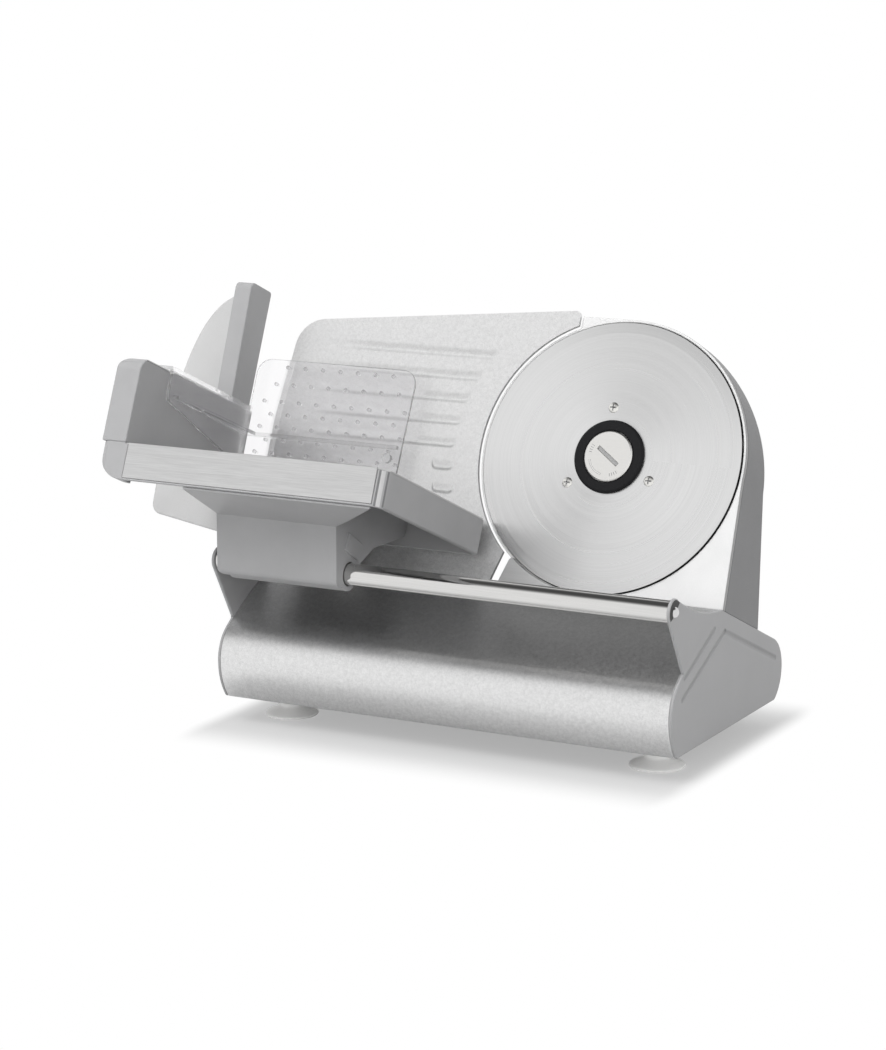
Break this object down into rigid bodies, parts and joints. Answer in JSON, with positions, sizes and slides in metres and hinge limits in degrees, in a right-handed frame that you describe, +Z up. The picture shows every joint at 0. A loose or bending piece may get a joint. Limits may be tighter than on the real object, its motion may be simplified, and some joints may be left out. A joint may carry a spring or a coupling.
{
  "type": "deli meat slicer",
  "caption": "Kitchen food slicer with a leaning round blade and gauge plate on a rounded steel base, a hand carriage on a chrome rod and a clear food pusher.",
  "frame": {"origin": "on the table, under the middle of the whole part's box with the carriage at rest", "axes": "+X to the right along the slide rod, +Y to the back, +Z up"},
  "size_m": [0.526, 0.2986, 0.337],
  "materials": {
    "grained_steel": "grained stainless sheet",
    "chrome": "polished chrome",
    "grey_plastic": "satin grey moulding",
    "silver_paint": "satin silver-grey paint",
    "white_polish": "smooth white",
    "white_rubber": "soft white",
    "pale_metal": "fine satin",
    "gauge_metal": "fine bead-blasted",
    "blade_steel": "concentric grind",
    "black_plastic": "satin black",
    "lock_metal": "satin",
    "clear": "clear moulding",
    "zinc": "bright zinc",
    "cast_aluminium": "as cast",
    "nylon": "natural",
    "lamination": "varnished",
    "copper": "turned",
    "carbon": "pressed"
  },
  "bodies": {
    "base": {"base_shell": "grained_steel", "end_cap_left": "grey_plastic", "end_cap_right": "grey_plastic", "bottom_plate": "black_plastic", "slide_rod": "chrome", "rod_screws": "chrome", "foot_front_left": "white_rubber", "foot_front_right": "white_rubber", "foot_rear_left": "white_rubber", "foot_rear_right": "white_rubber", "foot_nuts": "zinc", "front_plate": "white_polish", "drum_housing": "silver_paint", "rear_cover": "silver_paint", "lower_guard": "pale_metal", "gear_case": "cast_aluminium", "gear_cover": "cast_aluminium", "bearing_front": "zinc", "bearing_rear": "zinc", "motor_can": "zinc", "motor_stator": "lamination", "motor_bell": "zinc", "motor_bearings": "zinc", "brushes": "carbon", "guide_block": "cast_aluminium", "guide_rods": "zinc", "switch_body": "black_plastic", "cord_gland": "black_plastic"},
    "blade": {"blade": "blade_steel", "hub_ring": "black_plastic", "blade_screws": "zinc", "blade_flange": "cast_aluminium", "blade_shaft": "zinc", "worm_wheel": "nylon"},
    "lock": {"blade_lock": "lock_metal"},
    "rotor": {"armature": "lamination", "commutator": "copper", "worm": "zinc"},
    "carriage": {"tray_frame": "grey_plastic", "tray_plate": "grained_steel", "carriage_column": "grey_plastic", "side_wall": "grey_plastic", "hand_guard": "pale_metal", "hand_guard_screws": "zinc", "rod_bushes": "nylon", "glide_shoe": "nylon"},
    "pusher": {"pusher": "clear"},
    "gauge": {"gauge_plate": "gauge_metal", "gauge_bracket": "cast_aluminium"},
    "knob": {"lead_screw": "zinc", "thickness_knob": "black_plastic"},
    "switch": {"switch_rocker": "black_plastic"}
  },
  "joints": [
    {"name": "blade_spin", "type": "hinge", "parent": "base", "child": "blade", "pos_m": [0.1435, 0.05574, 0.2203], "axis": [0, -0.9205, 0.3907], "continuous": true},
    {"name": "motor_spin", "type": "hinge", "parent": "base", "child": "rotor", "pos_m": [0.1435, 0.0731, 0.17545], "axis": [1, 0, 0], "continuous": true},
    {"name": "lock_turn", "type": "hinge", "parent": "blade", "child": "lock", "pos_m": [0.1435, 0.05574, 0.2203], "axis": [0, -0.9205, 0.3907], "range_deg": [0, 90]},
    {"name": "carriage_slide", "type": "slide", "parent": "base", "child": "carriage", "axis": [1, 0, 0], "range_m": [-0.008, 0.265]},
    {"name": "pusher_slide", "type": "slide", "parent": "carriage", "child": "pusher", "axis": [0, -0.9205, 0.3907], "range_m": [0, 0.1]},
    {"name": "gauge_slide", "type": "slide", "parent": "base", "child": "gauge", "axis": [0, 0.9205, -0.3907], "range_m": [0, 0.015]},
    {"name": "knob_turn", "type": "hinge", "parent": "base", "child": "knob", "pos_m": [-0.0485, 0.11321, 0.09976], "axis": [0, 0.9205, -0.3907], "range_deg": [0, 301]},
    {"name": "switch_rock", "type": "hinge", "parent": "base", "child": "switch", "pos_m": [0.1035, 0.09074, 0.13185], "axis": [-1, 0, 0], "range_deg": [0, 16]}
  ],
  "couplings": [
    {"joint": "motor_spin", "follows": "blade_spin", "ratio": -44},
    {"joint": "knob_turn", "follows": "gauge_slide", "rad_per_m": 349.07}
  ]
}
